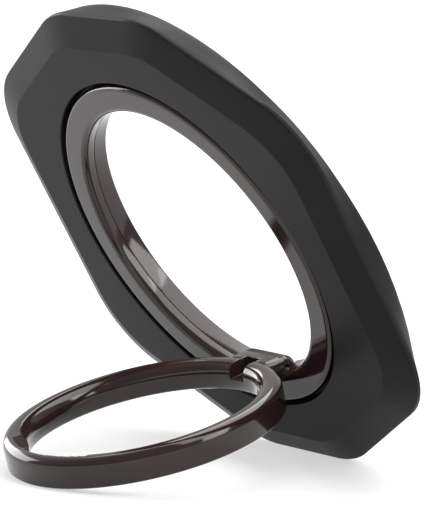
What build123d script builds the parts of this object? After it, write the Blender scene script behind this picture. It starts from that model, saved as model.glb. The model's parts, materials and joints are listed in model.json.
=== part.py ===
from build123d import *
import os
from math import acos, atan2, cos, degrees, hypot, radians, sin, tan

# Phone ring holder: an eight-sided plate that clings to the back of a phone, a swivel ring
# set into its front, and a finger ring that hinges out of the swivel ring as a stand.
# It stands on the plate's lower edge and on the far end of the open finger ring.
# X runs along the hinge, Y from the finger ring to the plate's back, Z is up. Millimetres.
# Depths run along the swivel axis from a datum just behind the face, negative to the back.

# Stance
lean_angle = 30.0               # plate, from upright, tipped forward over the finger ring

# Finger ring
ring_outer_radius = 17.95
ring_wall = 2.5                 # at its front and rear faces
ring_bulge = 0.65               # inner side swells towards the finger
ring_height = 3.8
crest_outer_radius = 1.2        # rear edges are rounded, front edges only broken
crest_inner_radius = 1.5
ring_break = 0.2
notch_half_width = 8.2          # fingertip notch in the rear of the far end
notch_lip = 1.5                 # ring left outside the notch
notch_depth = 2.0

# Hinge: the finger ring's barrel in a notch of the swivel ring
hinge_inset = 0.2               # hinge axis inside the swivel ring's bore
hinge_depth = 1.4
barrel_half_length = 4.1
barrel_bevel = 0.6
barrel_gap = 0.3                # barrel to the notch's outer wall
barrel_end_gap = 0.16           # barrel's ends to the notch
slot_half_width = 1.5           # slot in the rear of the hinge end
slot_back = 1.7                 # hinge axis to the slot's end wall
pin_radius = 0.4
pin_half_length = 7.5
pin_break = 0.12
pin_seat_gap = 0.02
sleeve_gap = 0.03
sleeve_wall = 0.3
sleeve_inset = 0.5              # sleeve's ends inside the barrel

# Swivel ring: bezel in front, hub behind, held by a lip of the plate
ring_clearance = 1.95           # folded finger ring to the bore
swivel_depth = 3.65
notch_wall = 0.7                # hub left outside the hinge notch
flange_width = 1.1              # hub's flange beyond its neck
bezel_overhang = 1.2            # bezel beyond the hub's neck
lead_in_round = 0.85            # bezel's flat front to the bore
bezel_round = 0.65              # bezel's flat front to its outer side
hub_break = 0.25
parting_break = 0.08            # fine groove where bezel and hub meet in the bore
spigot_inset = 1.1              # hub's spigot inside its neck
spigot_width = 0.6
spigot_height = 0.5
spigot_gap = 0.02
running_gap = 0.08
washer_thickness = 0.2
washer_width = 0.9

# Plate round the swivel ring
swivel_gap = 0.55               # open line round the bezel
recess_break = 0.2
lip_thickness = 0.7
rear_gap = 0.3                  # hub's flange to the plate

# Magnets behind the face
magnet_count = 16
magnet_wall = 1.4               # rear opening to the magnets
magnet_width = 3.6
magnet_thickness = 2.0
magnet_gap_angle = 1.2
magnet_gap = 0.1                # magnets and shunt to the walls of their groove
shunt_thickness = 0.4
front_wall = 1.6                # face to the floor of the magnet groove

# Round back of the plate
plate_depth = 4.7
cover_ledge = 2.6               # cover beyond the magnets
cover_thickness = 0.8
cover_sink = 0.1                # cover below the plate's back
cover_gap = 0.1
disc_wall = 1.4                 # plate's rim beyond the cover
disc_break = 0.3
pad_outer_inset = 0.6           # pad inside the cover's outer and inner edges
pad_inner_inset = 0.9
pad_thickness = 0.35
pad_break = 0.12

# Eight-sided edge of the plate against its round back, and the bevel up to the face
edge_end_offset = 0.1           # top and bottom sides, from the round back
edge_side_offset = 0.75         # left and right sides
edge_diagonal_offset = 0.66     # four slanted sides
diagonal_angle = 60.0           # direction of the slanted sides from X
edge_side_radius = 12.0         # corners beside the left and right sides
edge_end_radius = 13.5          # corners beside the top and bottom sides
edge_land = 0.4                 # square edge behind the flat
edge_flat = 0.3                 # narrow flat round the edge, level with the floor under the plate
bevel_width = 3.75
bevel_depth = 1.5
face_side_radius = 10.6         # the same corners on the face
face_end_radius = 12.0
face_rise = 0.3                 # face and the bezel's front, before the datum
face_round = 0.25

# Radii that follow, from the finger ring outwards
ring_inner_radius = ring_outer_radius - ring_wall
notch_radius = ring_outer_radius - notch_lip
bore_radius = ring_outer_radius + ring_clearance
hinge_radius = bore_radius - hinge_inset
barrel_radius = ring_height / 2
hinge_notch_radius = hinge_radius + barrel_radius + barrel_gap
neck_radius = hinge_notch_radius + notch_wall
flange_radius = neck_radius + flange_width
swivel_radius = neck_radius + bezel_overhang
spigot_radius = neck_radius - spigot_inset
lip_radius = neck_radius + running_gap
washer_inner_radius = lip_radius + running_gap
washer_outer_radius = washer_inner_radius + washer_width
recess_radius = swivel_radius + swivel_gap
rear_opening_radius = flange_radius + rear_gap
magnet_inner_radius = rear_opening_radius + magnet_wall
magnet_outer_radius = magnet_inner_radius + magnet_width
cover_radius = magnet_outer_radius + cover_ledge
disc_radius = cover_radius + disc_wall
pad_outer_radius = cover_radius - pad_outer_inset
pad_inner_radius = rear_opening_radius + pad_inner_inset
sleeve_inner_radius = pin_radius + sleeve_gap
sleeve_outer_radius = sleeve_inner_radius + sleeve_wall
sleeve_half_length = barrel_half_length - sleeve_inset

# Edge flat that follows: its slope is the lean, so that the plate stands on it
lean = radians(lean_angle)
flat_inset = edge_flat * sin(lean)
face_inset = flat_inset + bevel_width

# Depths that follow
bevel_back = face_rise - bevel_depth
edge_front = bevel_back - edge_flat * cos(lean)
edge_back = edge_front - edge_land
parting = -hinge_depth
recess_floor = parting - running_gap - washer_thickness
lip_back = recess_floor - lip_thickness
flange_front = lip_back - washer_thickness - running_gap
cover_back = -plate_depth + cover_sink
cover_front = cover_back + cover_thickness
groove_floor = face_rise - front_wall
shunt_back = groove_floor - shunt_thickness
notch_floor = notch_depth - ring_height / 2

# Stance: the height that sets the flat of the plate's lower edge on the floor, then the angle
# that brings the finger ring's far front edge down to the same floor
axis_height = cos(lean) * (disc_radius + edge_end_offset) + sin(lean) * edge_front
hinge_height = axis_height - cos(lean) * hinge_radius + sin(lean) * hinge_depth
ring_reach = hinge_radius + ring_outer_radius - ring_break
ring_foot = ring_height / 2
ring_slope = acos(-hinge_height / hypot(ring_reach, ring_foot)) - atan2(ring_foot, ring_reach)
open_angle = degrees(ring_slope) - lean_angle

# The same stance, centred from front to back
hinge_y = sin(lean) * hinge_radius + cos(lean) * hinge_depth
crest_reach = hinge_radius + ring_outer_radius - crest_outer_radius
crest_height = ring_height / 2 - crest_outer_radius
front_y = hinge_y - crest_reach * sin(ring_slope) + crest_height * cos(ring_slope) - crest_outer_radius
back_y = sin(lean) * (disc_radius - disc_break) + cos(lean) * plate_depth
axis_y = -(front_y + back_y) / 2

# Planes: the plate's front, a section through the swivel axis, and the hinge
plate = Plane(origin=(0, axis_y, axis_height), x_dir=(1, 0, 0), z_dir=(0, -cos(lean), -sin(lean)))
swivel_axis = Axis(plate.origin, plate.z_dir)
swivel_section = Plane(origin=plate.origin, x_dir=plate.x_dir, z_dir=-plate.y_dir)
hinge_origin = plate.from_local_coords((0, -hinge_radius, -hinge_depth))
hinge_section = Plane(origin=hinge_origin, x_dir=plate.y_dir, z_dir=plate.x_dir)

# The finger ring's own planes, swung open about the hinge
open_plane = Plane(origin=hinge_origin, x_dir=plate.x_dir, z_dir=plate.z_dir).rotated((open_angle, 0, 0))
ring_origin = open_plane.from_local_coords((0, hinge_radius, 0))
ring_plane = Plane(origin=ring_origin, x_dir=open_plane.x_dir, z_dir=open_plane.z_dir)
ring_axis = Axis(ring_origin, open_plane.z_dir)
ring_section = Plane(origin=ring_origin, x_dir=open_plane.x_dir, z_dir=-open_plane.y_dir)
tab_section = Plane(origin=hinge_origin, x_dir=open_plane.y_dir, z_dir=open_plane.x_dir)


def save(part, name):
    """Label a finished piece and write it under its own name."""
    part.label = name
    export_step(part, f"parts/{name}.step")


def eight_sides(inset):
    """Corners of the plate's outline, with every side moved in from its edge by inset."""
    end = disc_radius + edge_end_offset - inset
    side = disc_radius + edge_side_offset - inset
    diagonal = disc_radius + edge_diagonal_offset - inset
    across = cos(radians(diagonal_angle))
    along = sin(radians(diagonal_angle))
    shoulder = (diagonal - end * along) / across
    flank = (diagonal - side * across) / along
    quarter = [(side, flank), (shoulder, end)]
    upper = quarter + [(-u, v) for u, v in reversed(quarter)]
    return upper + [(-u, -v) for u, v in upper]


def plate_outline(depth, inset, side_radius, end_radius):
    """Rounded eight-sided outline at one depth."""
    with BuildSketch(plate.offset(depth)) as outline:
        Polygon(*eight_sides(inset), align=None)
        columns = outline.vertices().group_by(Axis.X)
        fillet(columns[0] + columns[-1], side_radius)
        rows = outline.vertices().group_by(Axis.Y)
        fillet(rows[0] + rows[-1], end_radius)
    return outline.sketch


def edge_outline(depth, inset=0):
    """Outline of the plate's edge, or of the bevel's foot just inside it."""
    return plate_outline(depth, inset, edge_side_radius - inset, edge_end_radius - inset)


def disc_outline(depth, outline):
    """Circle of the round back, divided where the eight-sided edge changes direction."""
    corners = [plate.to_local_coords(corner.center()) for corner in outline.vertices()]
    angles = sorted(degrees(atan2(corner.Y, corner.X)) for corner in corners)
    with BuildSketch(plate.offset(depth)) as disc:
        with BuildLine():
            for start, end in zip(angles, angles[1:] + [angles[0] + 360]):
                CenterArc((0, 0), disc_radius, start, end - start)
        make_face()
    return disc.sketch


def cut_round(radius, front, back):
    """Cut a round hole on the swivel axis between two depths."""
    with BuildSketch(plate.offset(front)) as hole:
        Circle(radius)
    extrude(hole.sketch, amount=back - front, mode=Mode.SUBTRACT)


def plain_ring(inner, outer, front, back):
    """Flat ring on the swivel axis."""
    with BuildPart() as ring:
        with BuildSketch(plate.offset(front)):
            Circle(outer)
            Circle(inner, mode=Mode.SUBTRACT)
        extrude(amount=back - front)
    return ring


os.makedirs("parts", exist_ok=True)

# Front shell: bevelled eight-sided face running back to a round disc, with a recess for the
# swivel ring, a lip that the swivel ring grips, and a groove for the magnets
with BuildPart() as front_shell:
    face = plate_outline(face_rise, face_inset, face_side_radius, face_end_radius)
    bevel_foot = edge_outline(bevel_back, flat_inset)
    edge_start = edge_outline(edge_front)
    edge_end = edge_outline(edge_back)
    loft([face.face(), bevel_foot.face()], ruled=True)
    loft([bevel_foot.face(), edge_start.face()], ruled=True)
    extrude(edge_start, amount=-edge_land)
    loft([edge_end.face(), disc_outline(-plate_depth, edge_end).face()], ruled=True)
    face_edges = front_shell.faces().sort_by(swivel_axis)[-1].outer_wire().edges()
    fillet(face_edges, face_round)
    back_edges = front_shell.faces().sort_by(swivel_axis)[0].outer_wire().edges()
    chamfer(back_edges, disc_break)
    cut_round(recess_radius, face_rise, recess_floor)
    cut_round(lip_radius, face_rise, -plate_depth)
    cut_round(rear_opening_radius, lip_back, -plate_depth)
    cut_round(cover_radius + cover_gap, cover_front, -plate_depth)
    with BuildSketch(plate.offset(cover_front)):
        Circle(magnet_outer_radius + magnet_gap)
        Circle(magnet_inner_radius - magnet_gap, mode=Mode.SUBTRACT)
    extrude(amount=groove_floor - cover_front, mode=Mode.SUBTRACT)
    mouth = front_shell.faces().sort_by(swivel_axis)[-1].inner_wires()[0].edges()
    chamfer(mouth, recess_break)
save(front_shell.part, "front_shell")

# Steel shunt behind the face, and the magnets on it
shunt = plain_ring(magnet_inner_radius, magnet_outer_radius, groove_floor, shunt_back)
save(shunt.part, "magnet_shunt")

magnet_step = 360 / magnet_count
magnet_arc = magnet_step - magnet_gap_angle
for number in range(magnet_count):
    start = 90 + number * magnet_step - magnet_arc / 2
    with BuildPart() as magnet:
        with BuildSketch(plate.offset(shunt_back)):
            with BuildLine():
                inner = CenterArc((0, 0), magnet_inner_radius, start, magnet_arc)
                outer = CenterArc((0, 0), magnet_outer_radius, start, magnet_arc)
                Line(inner @ 0, outer @ 0)
                Line(inner @ 1, outer @ 1)
            make_face()
        extrude(amount=-magnet_thickness)
    save(magnet.part, f"magnet_{number + 1:02d}")

# Back: a cover over the magnets and the soft pad that meets the phone
cover = plain_ring(rear_opening_radius, cover_radius, cover_front, cover_back)
save(cover.part, "rear_cover")

with BuildPart() as pad:
    with BuildSketch(plate.offset(cover_back)):
        Circle(pad_outer_radius)
        Circle(pad_inner_radius, mode=Mode.SUBTRACT)
    extrude(amount=-pad_thickness)
    chamfer(pad.faces().sort_by(swivel_axis)[0].edges(), pad_break)
save(pad.part, "back_pad")

# Washers on both sides of the lip
glide_front = recess_floor + washer_thickness
glide_washer = plain_ring(washer_inner_radius, washer_outer_radius, glide_front, recess_floor)
save(glide_washer.part, "glide_washer")
spring_back = lip_back - washer_thickness
spring_washer = plain_ring(washer_inner_radius, washer_outer_radius, lip_back, spring_back)
save(spring_washer.part, "spring_washer")


def cut_hinge_notch():
    """Notch for the hinge barrel, through the ring from front to back, and the pin's seat."""
    half_width = barrel_half_length + barrel_end_gap
    with BuildSketch(plate) as notch:
        with Locations((0, -hinge_notch_radius)):
            Rectangle(2 * half_width, hinge_notch_radius, align=(Align.CENTER, Align.MIN))
    extrude(notch.sketch, amount=2 * swivel_depth, both=True, mode=Mode.SUBTRACT)
    with BuildSketch(hinge_section) as seat:
        Circle(pin_radius + pin_seat_gap)
    extrude(seat.sketch, amount=pin_half_length + pin_seat_gap, both=True, mode=Mode.SUBTRACT)


# Swivel bezel: flat front level with the plate's face, rounded to the bore and to its outer side
with BuildPart() as bezel:
    with BuildSketch(swivel_section) as bezel_profile:
        with BuildLine():
            Polyline(
                (bore_radius, parting + parting_break),
                (bore_radius + parting_break, parting),
                (swivel_radius, parting),
                (swivel_radius, face_rise),
                (bore_radius, face_rise),
                close=True,
            )
        make_face()
        front_corners = bezel_profile.vertices().group_by(Axis.Y)[-1].sort_by(Axis.X)
        fillet(front_corners[0], lead_in_round)
        fillet(front_corners[-1], bezel_round)
        with Locations((spigot_radius + spigot_gap, parting)):
            Rectangle(
                spigot_width + 2 * spigot_gap,
                spigot_height + spigot_gap,
                align=(Align.MAX, Align.MIN),
                mode=Mode.SUBTRACT,
            )
    revolve(axis=swivel_axis)
    cut_hinge_notch()
save(bezel.part, "swivel_bezel")

# Swivel hub: straight bore, spigot into the bezel, flange behind the plate's lip
with BuildPart() as hub:
    with BuildSketch(swivel_section):
        with BuildLine():
            Polyline(
                (bore_radius, parting - parting_break),
                (bore_radius + parting_break, parting),
                (spigot_radius - spigot_width, parting),
                (spigot_radius - spigot_width, parting + spigot_height),
                (spigot_radius, parting + spigot_height),
                (spigot_radius, parting),
                (neck_radius, parting),
                (neck_radius, flange_front),
                (flange_radius, flange_front),
                (flange_radius, -swivel_depth + hub_break),
                (flange_radius - hub_break, -swivel_depth),
                (bore_radius + hub_break, -swivel_depth),
                (bore_radius, -swivel_depth + hub_break),
                close=True,
            )
        make_face()
    revolve(axis=swivel_axis)
    cut_hinge_notch()
save(hub.part, "swivel_hub")

# Hinge pin, clamped between bezel and hub
with BuildPart() as pin:
    with BuildSketch(hinge_section):
        Circle(pin_radius)
    extrude(amount=pin_half_length, both=True)
    chamfer(pin.edges().filter_by(GeomType.CIRCLE), pin_break)
save(pin.part, "hinge_pin")

# Friction sleeve in the finger ring's barrel
with BuildPart() as sleeve:
    with BuildSketch(tab_section):
        Circle(sleeve_outer_radius)
        Circle(sleeve_inner_radius, mode=Mode.SUBTRACT)
    extrude(amount=sleeve_half_length, both=True)
save(sleeve.part, "hinge_sleeve")

# Finger ring: barrel and tab at the hinge, a ring that swells inwards, a slot over the
# hinge and a fingertip notch at the far end
with BuildPart() as finger_ring:
    with BuildSketch(tab_section):
        Circle(barrel_radius)
        tab_length = hinge_radius - (ring_inner_radius + ring_outer_radius) / 2
        Rectangle(tab_length, ring_height, align=(Align.MIN, Align.CENTER))
    extrude(amount=barrel_half_length, both=True)
    barrel_ends = finger_ring.faces().filter_by(Axis.X)
    chamfer(barrel_ends.edges(), barrel_bevel)
    with BuildSketch(ring_section) as ring_profile:
        front = ring_height / 2
        with BuildLine():
            ThreePointArc(
                (ring_inner_radius, -front), (ring_inner_radius - ring_bulge, 0), (ring_inner_radius, front)
            )
            Polyline(
                (ring_inner_radius, front),
                (ring_outer_radius, front),
                (ring_outer_radius, -front),
                (ring_inner_radius, -front),
            )
        make_face()
        chamfer(ring_profile.vertices().group_by(Axis.Y)[-1], ring_break)
        rear_corners = ring_profile.vertices().group_by(Axis.Y)[0].sort_by(Axis.X)
        fillet(rear_corners[-1], crest_outer_radius)
        rear_inner = ring_profile.vertices().group_by(Axis.Y)[0].sort_by(Axis.X)[0]
        fillet(rear_inner, crest_inner_radius)
    revolve(axis=ring_axis)
    with BuildSketch(tab_section):
        Circle(sleeve_outer_radius)
    extrude(amount=barrel_half_length, both=True, mode=Mode.SUBTRACT)
    with BuildSketch(open_plane.offset(notch_floor)):
        with Locations((0, slot_back)):
            Rectangle(2 * slot_half_width, hinge_radius - slot_back, align=(Align.CENTER, Align.MIN))
    extrude(amount=-ring_height, mode=Mode.SUBTRACT)
    with BuildSketch(ring_plane.offset(notch_floor)):
        Circle(notch_radius)
        Rectangle(
            2 * notch_half_width, ring_outer_radius, align=(Align.CENTER, Align.MIN), mode=Mode.INTERSECT
        )
    extrude(amount=-ring_height, mode=Mode.SUBTRACT)
save(finger_ring.part, "finger_ring")

print(f"axis height {axis_height:.3f}, axis y {axis_y:.3f}, open angle {open_angle:.3f}")
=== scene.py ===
"""Looks of a phone ring holder: a matt black eight-sided plate, a polished gunmetal swivel ring in its
front, and a gunmetal finger ring hinged out of it as a stand. Pieces are drawn in millimetres on their
own axis and then set in place in metres, in the frame of the solids."""
import json
import math

import bpy
from mathutils import Matrix, Vector


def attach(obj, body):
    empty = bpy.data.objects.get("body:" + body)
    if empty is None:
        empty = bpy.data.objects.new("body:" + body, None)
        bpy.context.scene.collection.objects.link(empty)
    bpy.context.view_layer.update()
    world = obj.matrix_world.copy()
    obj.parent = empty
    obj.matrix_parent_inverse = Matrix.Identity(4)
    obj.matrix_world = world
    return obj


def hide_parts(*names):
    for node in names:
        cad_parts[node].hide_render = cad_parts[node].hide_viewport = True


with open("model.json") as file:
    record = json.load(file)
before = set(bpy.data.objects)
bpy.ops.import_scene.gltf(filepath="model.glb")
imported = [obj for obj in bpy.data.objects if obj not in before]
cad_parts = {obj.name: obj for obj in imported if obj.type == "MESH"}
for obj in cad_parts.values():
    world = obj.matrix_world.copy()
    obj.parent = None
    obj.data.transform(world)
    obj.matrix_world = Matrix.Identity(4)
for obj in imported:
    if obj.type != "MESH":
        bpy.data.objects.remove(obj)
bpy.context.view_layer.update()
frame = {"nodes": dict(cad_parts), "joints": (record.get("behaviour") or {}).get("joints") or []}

MM = 0.001

# Camera: where the photograph was taken from, against the middle of the plate
camera_azimuth = 54.93
camera_elevation = 7.22
camera_depth = 519.85 * MM
camera_lens = 294.75
camera_near = 0.05
plate_left_of_view = 2.446 * MM
plate_above_view = 0.872 * MM

# Studio: a dim pale room and three soft lamps, each with its place, length, width and brightness
room_bright_side = Vector((-0.8, 0.45, 0.3)).normalized()
room_levels = [(0.0, 0.4), (0.5, 0.4), (1.0, 0.7)]
lamps = {
    "overhead_panel": ((0.05, 0.3, 1.0), 2.2, 0.9, 4.0),
    "left_lamp": ((-0.95, -0.2, 0.3), 0.9, 0.5, 5.5),
    "right_lamp": ((0.84, 0.28, 0.42), 0.4, 0.6, 6.0),
}
floor_size = 6.0
floor_colour = 0.4
floor_white = 0.55

# Finishes: clouds run from a dark to a light shade between two levels of a noise; each kind of finish
# has the noise's scale and detail, and what the clouds add to the roughness
cloud_low = 0.3
cloud_high = 0.7
plastic_clouds = (160.0, 3.0, 0.06)
gunmetal_clouds = (220.0, 4.0, 0.02)
metal_clouds = (400.0, 4.0, 0.1)
grain_scale = 9000.0
grain_detail = 2.0
grain_strength = 0.12
grain_height = 0.04 * MM
gunmetal_dark = (0.021, 0.0105, 0.0098)
gunmetal_light = (0.024, 0.0120, 0.0112)
gunmetal_roughness = 0.09
gunmetal_ior = 1.47

# Stance, in degrees
lean_angle = 30.0
open_angle = 75.075

# Plate: eight sides over a round back; depths from the datum just behind the face
end_side = 33.1
left_right_side = 33.75
slanted_side = 33.66
slanted_direction = 60.0
disc_radius = 33.0
disc_back = -4.7
disc_break = 0.3
face = 0.3
face_inset = 3.9
face_soften = 0.16
face_sag = 0.25
bevel_foot = -1.2
foot_inset = 0.15
edge_front = -1.46
edge_back = -1.86
edge_side_round = 12.0
edge_end_round = 13.5
corners_by_left_and_right = (0, 3, 4, 7)
round_loss = 1 / 3
recess_radius = 24.35
recess_floor = -1.68
mouth_break = 0.2
lip_radius = 22.68
lip_back = -2.38
opening_radius = 24.0
groove_inner = 25.3
groove_outer = 29.1
groove_floor = -1.3
seat_radius = 31.7
seat_front = -3.8
seat_break = 0.12

# Cover and soft pad on the back
cover_radius = 31.6
cover_back = -4.6
cover_break = 0.1
pad_inner = 24.9
pad_outer = 31.0
pad_back = -4.95
pad_round = 0.15

# Swivel ring
bore = 19.9
swivel_radius = 23.8
parting = -1.4
parting_break = 0.08
lead_in_round = 0.85
bezel_round = 0.65
spigot_inner = 20.9
spigot_outer = 21.5
spigot_height = 0.5
spigot_gap = 0.02
neck_radius = 22.6
flange_radius = 23.7
flange_front = -2.66
hub_back = -3.65
hub_break = 0.25
hinge_notch_half = 4.26
hinge_notch_wall = 21.9
pin_seat_radius = 0.42
pin_seat_half = 7.52

# Finger ring
hinge_radius = 19.7
ring_outer = 17.95
ring_inner = 15.45
ring_bulge = 0.65
ring_half_height = 1.9
crest_outer_round = 1.2
crest_inner_round = 1.5
ring_break = 0.2
barrel_half_length = 4.1
barrel_bevel = 0.6
sleeve_radius = 0.73
slot_half_width = 1.5
slot_back = 1.7
notch_half_width = 8.2
notch_radius = 16.45
notch_floor = 0.1

# Fineness of the meshes
turn_steps = 192
arc_steps = 10
straight_steps = 8
round_steps = 8
mouth_steps = 3
pad_steps = 4
back_steps = 4
swell_steps = 12
barrel_steps = 24
weld = 0.002
fine_edge = 0.1
fine_edge_segments = 2
square_edge_angle = 55.0
smooth_angle = 46.0
large_face_weight = 90

magnet_count = 16

joints = {joint["name"]: Vector(joint["pos_m"]) for joint in frame["joints"]}
plate_centre = joints["swivel_turn"]
lean = Matrix.Rotation(math.radians(90 + lean_angle), 4, "X")
swing = Matrix.Rotation(math.radians(open_angle), 4, "X")
plate_place = Matrix.Translation(plate_centre) @ lean @ Matrix.Scale(MM, 4)
hinge_place = Matrix.Translation(joints["finger_ring_fold"]) @ lean @ swing @ Matrix.Scale(MM, 4)
ring_place = hinge_place @ Matrix.Translation((0.0, hinge_radius, 0.0))


class Wire:
    """One node socket, ready for arithmetic."""

    def __init__(self, bench, socket):
        self.bench = bench
        self.socket = socket

    def combine(self, operation, first, second):
        return self.bench.add("ShaderNodeMath", {"operation": operation}, {0: first, 1: second})

    def __add__(self, other):
        return self.combine("ADD", self, other)

    def __radd__(self, other):
        return self.combine("ADD", other, self)

    def __mul__(self, other):
        return self.combine("MULTIPLY", self, other)


class Bench:
    """Adds nodes to one material or world."""

    def __init__(self, tree):
        self.tree = tree
        tree.nodes.clear()

    def add(self, kind, settings=None, inputs=None, output=0):
        node = self.tree.nodes.new(kind)
        for name, value in (settings or {}).items():
            if name == "stops":
                self.set_stops(node.color_ramp, value)
            else:
                setattr(node, name, value)
        for name, value in (inputs or {}).items():
            if isinstance(value, Wire):
                self.tree.links.new(value.socket, node.inputs[name])
            else:
                node.inputs[name].default_value = value
        return Wire(self, node.outputs[output]) if node.outputs else None

    @staticmethod
    def set_stops(ramp, stops):
        while len(ramp.elements) < len(stops):
            ramp.elements.new(1.0)
        for element, (position, value) in zip(ramp.elements, stops):
            element.position = position
            element.color = (*value, 1.0) if isinstance(value, tuple) else (value, value, value, 1.0)


def grey(value):
    return (value, value, value, 1.0)


def new_material(name):
    material = bpy.data.materials.new(name)
    material.use_nodes = True
    return material, Bench(material.node_tree)


def clouded(bench, place, clouds, dark, light, roughness):
    """Slow clouds over a surface: the shade and the roughness that they give it."""
    scale, detail, unevenness = clouds
    cloud = bench.add("ShaderNodeTexNoise", None, {"Vector": place, "Scale": scale, "Detail": detail})
    stops = [(cloud_low, dark), (cloud_high, light)]
    shade = bench.add("ShaderNodeValToRGB", {"stops": stops}, {"Fac": cloud}, output="Color")
    return {"Base Color": shade, "Roughness": roughness + cloud * unevenness}


def close_finish(bench, inputs):
    """End a material with its one surface."""
    surface = bench.add("ShaderNodeBsdfPrincipled", None, inputs)
    bench.add("ShaderNodeOutputMaterial", None, {"Surface": surface})


def moulded_plastic(name, dark, light, roughness, gloss):
    """Moulded plastic or rubber with a fine spark-eroded grain."""
    material, bench = new_material(name)
    place = bench.add("ShaderNodeTexCoord", output="Object")
    noise = {"Vector": place, "Scale": grain_scale, "Detail": grain_detail}
    grain = bench.add("ShaderNodeTexNoise", None, noise)
    relief = {"Height": grain, "Strength": grain_strength, "Distance": grain_height}
    bump = bench.add("ShaderNodeBump", None, relief)
    inputs = clouded(bench, place, plastic_clouds, dark, light, roughness)
    inputs["Specular IOR Level"] = gloss
    inputs["Normal"] = bump
    close_finish(bench, inputs)
    return material


def gunmetal():
    """Polished metal under a thin dark warm coating."""
    material, bench = new_material("gunmetal")
    place = bench.add("ShaderNodeTexCoord", output="Object")
    inputs = clouded(bench, place, gunmetal_clouds, gunmetal_dark, gunmetal_light, gunmetal_roughness)
    inputs["IOR"] = gunmetal_ior
    close_finish(bench, inputs)
    return material


def plain_metal(name, dark, light, roughness):
    """Steel or nickel plate, a little cloudy."""
    material, bench = new_material(name)
    place = bench.add("ShaderNodeTexCoord", output="Object")
    inputs = clouded(bench, place, metal_clouds, dark, light, roughness)
    inputs["Metallic"] = 1.0
    close_finish(bench, inputs)
    return material


def arc(centre, radius, start, end, steps=round_steps):
    """Points of an arc, between two directions in degrees."""
    points = []
    for number in range(steps + 1):
        direction = math.radians(start + (end - start) * number / steps)
        across = centre[0] + radius * math.cos(direction)
        along = centre[1] + radius * math.sin(direction)
        points.append((across, along))
    return points


def draw(name, points, closed=True):
    """Start a piece as a line drawn from corner to corner; it stays in edit mode, all selected."""
    bpy.ops.object.select_all(action="DESELECT")
    bpy.ops.mesh.primitive_plane_add(size=1.0)
    piece = bpy.context.object
    piece.name = name
    bpy.ops.object.mode_set(mode="EDIT")
    bpy.ops.mesh.select_mode(type="VERT")
    bpy.ops.mesh.select_all(action="SELECT")
    bpy.ops.mesh.merge(type="CENTER")
    corners = [Vector(point) for point in points]
    bpy.ops.transform.translate(value=corners[0])
    if closed:
        corners.append(corners[0])
    for here, there in zip(corners, corners[1:]):
        bpy.ops.mesh.extrude_vertices_move(TRANSFORM_OT_translate={"value": there - here})
    bpy.ops.mesh.select_all(action="SELECT")
    bpy.ops.mesh.remove_doubles(threshold=weld)
    return piece


def close_up():
    """Weld the seams of the piece in hand, turn its faces outwards and leave edit mode."""
    bpy.ops.mesh.select_all(action="SELECT")
    bpy.ops.mesh.remove_doubles(threshold=weld)
    bpy.ops.mesh.normals_make_consistent(inside=False)
    bpy.ops.object.mode_set(mode="OBJECT")


def turn(name, profile, closed=True):
    """A piece turned about its own axis from a profile of radii and depths."""
    piece = draw(name, [(radius, 0.0, depth) for radius, depth in profile], closed)
    bpy.ops.mesh.spin(steps=turn_steps, angle=math.tau, center=(0.0, 0.0, 0.0), axis=(0.0, 0.0, 1.0))
    close_up()
    return piece


def join(pieces):
    """Make one mesh of several."""
    bpy.ops.object.select_all(action="DESELECT")
    for piece in pieces:
        piece.select_set(True)
    bpy.context.view_layer.objects.active = pieces[0]
    bpy.ops.object.join()
    return pieces[0]


def strip(name, first, second):
    """Faces between two closed lines."""
    near = draw(name, first)
    bpy.ops.object.mode_set(mode="OBJECT")
    far = draw(name, second)
    bpy.ops.object.mode_set(mode="OBJECT")
    piece = join([near, far])
    bpy.ops.object.mode_set(mode="EDIT")
    bpy.ops.mesh.select_all(action="SELECT")
    bpy.ops.mesh.bridge_edge_loops()
    bpy.ops.object.mode_set(mode="OBJECT")
    return piece


def block(low, high):
    """A box between two corners, to cut with."""
    low = Vector(low)
    high = Vector(high)
    bpy.ops.object.select_all(action="DESELECT")
    bpy.ops.mesh.primitive_cube_add(size=1.0, location=(low + high) / 2, scale=high - low)
    return bpy.context.object


def rod(radius, half_length, middle, along):
    """A round bar along X or Z, to cut with."""
    bpy.ops.object.select_all(action="DESELECT")
    tilt = (0.0, math.pi / 2, 0.0) if along == "X" else (0.0, 0.0, 0.0)
    bpy.ops.mesh.primitive_cylinder_add(
        vertices=turn_steps, radius=radius, depth=2 * half_length, location=middle, rotation=tilt
    )
    return bpy.context.object


def combine(piece, tool, operation):
    """Cut a tool out of a piece, join it on, or keep what both share."""
    change = piece.modifiers.new(operation.lower(), "BOOLEAN")
    change.operation = operation
    change.solver = "EXACT"
    change.object = tool
    bpy.ops.object.select_all(action="DESELECT")
    piece.select_set(True)
    bpy.context.view_layer.objects.active = piece
    bpy.ops.object.modifier_apply(modifier=change.name)
    bpy.data.objects.remove(tool)


def soften(piece, width):
    """Break the square edges that cutting left."""
    edges = piece.modifiers.new("edges", "BEVEL")
    edges.width = width
    edges.segments = fine_edge_segments
    edges.limit_method = "ANGLE"
    edges.angle_limit = math.radians(square_edge_angle)
    edges.use_clamp_overlap = False
    bpy.context.view_layer.objects.active = piece
    bpy.ops.object.modifier_apply(modifier=edges.name)


def fit(piece, place, node, body, finish):
    """Set a finished piece in its place, give it its finish and let it ride on its body."""
    bpy.ops.object.select_all(action="DESELECT")
    piece.select_set(True)
    bpy.context.view_layer.objects.active = piece
    piece.matrix_world = place
    bpy.ops.object.transform_apply(location=True, rotation=True, scale=True)
    bpy.ops.object.shade_smooth_by_angle(angle=math.radians(smooth_angle))
    weights = piece.modifiers.new("even_light", "WEIGHTED_NORMAL")
    weights.keep_sharp = True
    weights.weight = large_face_weight
    bpy.ops.object.modifier_apply(modifier=weights.name)
    piece.data.materials.clear()
    piece.data.materials.append(finish)
    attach(piece, body)
    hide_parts(node)


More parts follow.
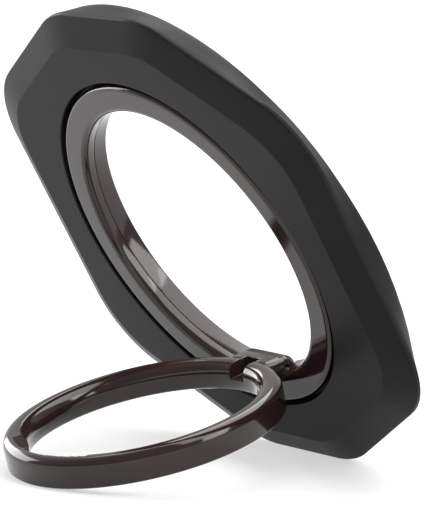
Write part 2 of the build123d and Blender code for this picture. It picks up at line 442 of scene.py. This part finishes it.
def plate_sides(inset):
    """Directions and reaches of the plate's eight sides, in turn."""
    half = [
        (0.0, left_right_side),
        (slanted_direction, slanted_side),
        (90.0, end_side),
        (180.0 - slanted_direction, slanted_side),
    ]
    sides = half + [(direction + 180.0, reach) for direction, reach in half]
    return [(math.radians(direction), reach - inset) for direction, reach in sides]


def outline(inset, depth):
    """Points of the plate's rounded eight-sided outline at one depth."""
    lost = min(inset, foot_inset) + max(inset - foot_inset, 0.0) * round_loss
    sides = plate_sides(inset)
    corners = []
    for number, (start, reach) in enumerate(sides):
        end, next_reach = sides[(number + 1) % len(sides)]
        sweep = (end - start) % math.tau
        radius = (edge_side_round if number in corners_by_left_and_right else edge_end_round) - lost
        ahead = reach - radius
        aside = (next_reach - radius - ahead * math.cos(sweep)) / math.sin(sweep)
        middle = Matrix.Rotation(start, 2) @ Vector((ahead, aside))
        first = math.degrees(start)
        last = math.degrees(start + sweep)
        corners.append(arc(middle, radius, first, last, arc_steps))
    points = []
    for corner, following in zip(corners, corners[1:] + corners[:1]):
        points.extend(Vector(point) for point in corner)
        for step in range(1, straight_steps):
            points.append(Vector(corner[-1]).lerp(Vector(following[0]), step / straight_steps))
    return [(point.x, point.y, depth) for point in points]


def run_back(points, share):
    """The plate's edge carried part of the way to the round back."""
    moved = []
    for x, y, depth in points:
        reach = math.hypot(x, y)
        scale = 1 + (disc_radius / reach - 1) * share
        moved.append((x * scale, y * scale, depth + (disc_back - depth) * share))
    return moved


def rim(points, radius, depth):
    """A circle with a point in the direction of each point of an outline."""
    return [(*(Vector((x, y)).normalized() * radius), depth) for x, y, _ in points]


def circle(radius, depth):
    """A circle that meets a turned piece point for point."""
    points = arc((0.0, 0.0), radius, 0.0, 360.0, turn_steps)[:-1]
    return [(x, y, depth) for x, y in points]


def plate_shell():
    """Front shell: face, bevel, square edge, run back to the round disc, and the turned inside."""
    slope = (face - bevel_foot) / (face_inset - foot_inset)
    edge = outline(0.0, edge_back)
    rim_share = 1 - disc_break / (edge_back - disc_back)
    mouth = recess_radius + mouth_break
    loops = [
        circle(mouth, face),
        outline(face_inset + face_soften, face),
        outline(face_inset, face - slope * face_soften * face_sag),
        outline(face_inset - face_soften, face - slope * face_soften),
        outline(foot_inset, bevel_foot),
        outline(0.0, edge_front),
    ]
    loops += [run_back(edge, rim_share * step / back_steps) for step in range(back_steps + 1)]
    loops.append(rim(edge, disc_radius - disc_break, disc_back))
    loops.append(circle(seat_radius + seat_break, disc_back))
    inside = arc((mouth, face - mouth_break), mouth_break, 90.0, 180.0, mouth_steps)
    inside += [
        (recess_radius, recess_floor),
        (lip_radius, recess_floor),
        (lip_radius, lip_back),
        (opening_radius, lip_back),
        (opening_radius, seat_front),
        (groove_inner, seat_front),
        (groove_inner, groove_floor),
        (groove_outer, groove_floor),
        (groove_outer, seat_front),
        (seat_radius, seat_front),
        (seat_radius, disc_back + seat_break),
        (seat_radius + seat_break, disc_back),
    ]
    strips = [strip("plate_shell", near, far) for near, far in zip(loops, loops[1:])]
    shell = join(strips + [turn("plate_inside", inside, closed=False)])
    bpy.ops.object.mode_set(mode="EDIT")
    close_up()
    return shell


def back_cover():
    """Flat ring over the magnets, its rear edges broken."""
    profile = [
        (opening_radius, seat_front),
        (cover_radius, seat_front),
        (cover_radius, cover_back + cover_break),
        (cover_radius - cover_break, cover_back),
        (opening_radius + cover_break, cover_back),
        (opening_radius, cover_back + cover_break),
    ]
    return turn("back_cover", profile)


def soft_pad():
    """Soft ring that meets the phone, its rear edges rounded."""
    level = pad_back + pad_round
    profile = [(pad_inner, cover_back), (pad_outer, cover_back)]
    profile += arc((pad_outer - pad_round, level), pad_round, 0.0, -90.0, pad_steps)
    profile += arc((pad_inner + pad_round, level), pad_round, -90.0, -180.0, pad_steps)
    return turn("soft_pad", profile)


def cut_hinge_notch(piece):
    """Notch for the finger ring's barrel, through the swivel ring, and the seat of the pin."""
    low = (-hinge_notch_half, -hinge_notch_wall, 2 * hub_back)
    high = (hinge_notch_half, -hinge_notch_wall / 2, -hub_back)
    combine(piece, block(low, high), "DIFFERENCE")
    pin_seat = rod(pin_seat_radius, pin_seat_half, (0.0, -hinge_radius, parting), "X")
    combine(piece, pin_seat, "DIFFERENCE")


def bezel():
    """Front of the swivel ring: flat, rounded to the bore and to its outer side."""
    profile = [
        (bore, parting + parting_break),
        (bore + parting_break, parting),
        (spigot_inner - spigot_gap, parting),
        (spigot_inner - spigot_gap, parting + spigot_height + spigot_gap),
        (spigot_outer + spigot_gap, parting + spigot_height + spigot_gap),
        (spigot_outer + spigot_gap, parting),
        (swivel_radius, parting),
    ]
    profile += arc((swivel_radius - bezel_round, face - bezel_round), bezel_round, 0.0, 90.0)
    profile += arc((bore + lead_in_round, face - lead_in_round), lead_in_round, 90.0, 180.0)
    piece = turn("bezel", profile)
    cut_hinge_notch(piece)
    soften(piece, fine_edge)
    return piece


def hub():
    """Back of the swivel ring: bore, spigot into the bezel, neck, and the flange behind the plate."""
    profile = [
        (bore, parting - parting_break),
        (bore + parting_break, parting),
        (spigot_inner, parting),
        (spigot_inner, parting + spigot_height),
        (spigot_outer, parting + spigot_height),
        (spigot_outer, parting),
        (neck_radius, parting),
        (neck_radius, flange_front),
        (flange_radius, flange_front),
        (flange_radius, hub_back + hub_break),
        (flange_radius - hub_break, hub_back),
        (bore + hub_break, hub_back),
        (bore, hub_back + hub_break),
    ]
    piece = turn("hub", profile)
    cut_hinge_notch(piece)
    return piece


def ring_profile():
    """The finger ring's section: inner side swelling to the finger, rear rounded, front edges broken."""
    half = ring_half_height
    swell = (half**2 + ring_bulge**2) / (2 * ring_bulge)
    swell_middle = ring_inner - ring_bulge + swell
    lift = math.asin((half - ring_break) / swell)
    crest_level = crest_inner_round - half
    crest_middle = swell_middle - math.sqrt((swell - crest_inner_round) ** 2 - crest_level**2)
    meet = math.atan2(-crest_level, swell_middle - crest_middle)
    swell_start = 180.0 - math.degrees(lift)
    swell_end = 180.0 + math.degrees(meet)
    points = arc((swell_middle, 0.0), swell, swell_start, swell_end, swell_steps)
    points += arc((crest_middle, crest_level), crest_inner_round, swell_end, 270.0)[1:]
    outer_middle = (ring_outer - crest_outer_round, crest_outer_round - half)
    points += arc(outer_middle, crest_outer_round, -90.0, 0.0)
    points += [
        (ring_outer, half - ring_break),
        (ring_outer - ring_break, half),
        (ring_inner + ring_break, half),
    ]
    return points


def hinge_tab():
    """The finger ring's barrel and the tab behind it."""
    tab_end = -(ring_inner + ring_outer) / 2
    section = arc((-hinge_radius, 0.0), ring_half_height, 90.0, 270.0, barrel_steps)
    section += [(tab_end, -ring_half_height), (tab_end, ring_half_height)]
    piece = draw("hinge_tab", [(-barrel_half_length, y, z) for y, z in section])
    bpy.ops.mesh.edge_face_add()
    across = (2 * barrel_half_length, 0.0, 0.0)
    bpy.ops.mesh.extrude_region_move(TRANSFORM_OT_translate={"value": across})
    bpy.ops.mesh.select_all(action="SELECT")
    bpy.ops.mesh.normals_make_consistent(inside=False)
    bpy.ops.mesh.select_all(action="DESELECT")
    bpy.ops.object.mode_set(mode="OBJECT")
    places = piece.data.vertices
    for edge in piece.data.edges:
        first, second = (places[number].co.x for number in edge.vertices)
        edge.select = first * second > 0
    bpy.ops.object.mode_set(mode="EDIT")
    bpy.ops.mesh.select_mode(type="EDGE")
    bpy.ops.mesh.bevel(offset=barrel_bevel, segments=1, affect="EDGES")
    bpy.ops.object.mode_set(mode="OBJECT")
    return piece


def finger_ring():
    """Finger ring with its hinge barrel, the slot over the hinge and the fingertip notch."""
    piece = turn("finger_ring", ring_profile())
    combine(piece, hinge_tab(), "UNION")
    sleeve_hole = rod(sleeve_radius, 2 * barrel_half_length, (0.0, -hinge_radius, 0.0), "X")
    combine(piece, sleeve_hole, "DIFFERENCE")
    slot_low = (-slot_half_width, slot_back - hinge_radius, -2 * ring_half_height)
    combine(piece, block(slot_low, (slot_half_width, 0.0, notch_floor)), "DIFFERENCE")
    notch_low = (-notch_half_width, 0.0, -2 * ring_half_height)
    notch = block(notch_low, (notch_half_width, ring_outer, notch_floor))
    combine(notch, rod(notch_radius, 2 * ring_half_height, (0.0, 0.0, 0.0), "Z"), "INTERSECT")
    combine(piece, notch, "DIFFERENCE")
    soften(piece, fine_edge)
    return piece


def studio_room():
    """A dim even room, a little brighter on the side away from the camera."""
    world = bpy.data.worlds.new("studio")
    bpy.context.scene.world = world
    world.use_nodes = True
    bench = Bench(world.node_tree)
    direction = bench.add("ShaderNodeTexCoord", output="Generated")
    facing = bench.add(
        "ShaderNodeVectorMath",
        {"operation": "DOT_PRODUCT"},
        {0: direction, 1: room_bright_side},
        output="Value",
    )
    share = facing * 0.5 + 0.5
    level = bench.add("ShaderNodeValToRGB", {"stops": room_levels}, {"Fac": share}, output="Color")
    light = bench.add("ShaderNodeBackground", None, {"Color": level, "Strength": 1.0})
    bench.add("ShaderNodeOutputWorld", None, {"Surface": light})


def soft_lamp(name, place, length, width, brightness):
    """A flat lamp that faces the holder."""
    data = bpy.data.lights.new(name, "AREA")
    data.shape = "RECTANGLE"
    data.size = length
    data.size_y = width
    data.energy = brightness * math.pi * length * width
    lamp = bpy.data.objects.new(name, data)
    bpy.context.collection.objects.link(lamp)
    lamp.location = Vector(place)
    lamp.rotation_euler = (lamp.location - plate_centre).to_track_quat("Z", "Y").to_euler()


def pale_floor():
    """White floor that keeps the holder's shadow; reflections show it as the camera does."""
    bpy.ops.object.select_all(action="DESELECT")
    bpy.ops.mesh.primitive_plane_add(size=floor_size)
    floor = bpy.context.object
    floor.name = "floor"
    material, bench = new_material("pale_floor")
    camera_ray = bench.add("ShaderNodeLightPath", output="Is Camera Ray")
    glossy_ray = bench.add("ShaderNodeLightPath", output="Is Glossy Ray")
    clear_ray = bench.add("ShaderNodeLightPath", output="Is Transmission Ray")
    seen = camera_ray + glossy_ray + clear_ray
    lit = bench.add("ShaderNodeBsdfDiffuse", None, {"Color": grey(floor_colour)})
    white = bench.add("ShaderNodeEmission", None, {"Color": grey(floor_white), "Strength": seen})
    both = bench.add("ShaderNodeAddShader", None, {0: lit, 1: white})
    bench.add("ShaderNodeOutputMaterial", None, {"Surface": both})
    floor.data.materials.append(material)


def place_camera():
    """Camera at the photograph's viewing angle, with the holder at the same place in the frame."""
    azimuth = math.radians(camera_azimuth)
    elevation = math.radians(camera_elevation)
    right = Vector((math.cos(azimuth), math.sin(azimuth), 0.0))
    level = Vector((math.sin(azimuth), -math.cos(azimuth), 0.0))
    back = level * math.cos(elevation) + Vector((0.0, 0.0, math.sin(elevation)))
    up = back.cross(right)
    camera = bpy.data.objects.new("camera", bpy.data.cameras.new("camera"))
    bpy.context.collection.objects.link(camera)
    camera.data.lens = camera_lens
    camera.data.clip_start = camera_near
    place = plate_centre + back * camera_depth
    place += right * plate_left_of_view
    place -= up * plate_above_view
    camera.location = place
    camera.rotation_euler = (math.pi / 2 - elevation, 0.0, azimuth)
    bpy.context.scene.camera = camera


bpy.context.scene.view_settings.view_transform = "Standard"
studio_room()
for name, setting in lamps.items():
    soft_lamp(name, *setting)
pale_floor()
place_camera()

shell_finish = moulded_plastic("matt_shell", dark=0.012, light=0.016, roughness=0.42, gloss=0.1)
pad_finish = moulded_plastic("soft_pad", dark=0.012, light=0.016, roughness=0.7, gloss=0.25)
glide_finish = moulded_plastic("glide_plastic", dark=0.05, light=0.07, roughness=0.4, gloss=0.5)
metal_finish = gunmetal()
steel_finish = plain_metal("bright_steel", dark=0.50, light=0.58, roughness=0.25)
nickel_finish = plain_metal("magnet_nickel", dark=0.55, light=0.62, roughness=0.2)

fit(plate_shell(), plate_place, "front_shell", "plate", shell_finish)
fit(back_cover(), plate_place, "rear_cover", "plate", shell_finish)
fit(soft_pad(), plate_place, "back_pad", "plate", pad_finish)
fit(bezel(), plate_place, "swivel_bezel", "swivel", metal_finish)
fit(hub(), plate_place, "swivel_hub", "swivel", metal_finish)
fit(finger_ring(), ring_place, "finger_ring", "finger_loop", metal_finish)

inner_finishes = {
    "hinge_pin": steel_finish,
    "magnet_shunt": steel_finish,
    "spring_washer": steel_finish,
    "glide_washer": glide_finish,
    "hinge_sleeve": glide_finish,
}
magnets = [f"magnet_{number:02d}" for number in range(1, magnet_count + 1)]
inner_finishes.update({name: nickel_finish for name in magnets})
for name, finish in inner_finishes.items():
    mesh = frame["nodes"][name].data
    mesh.materials.clear()
    mesh.materials.append(finish)
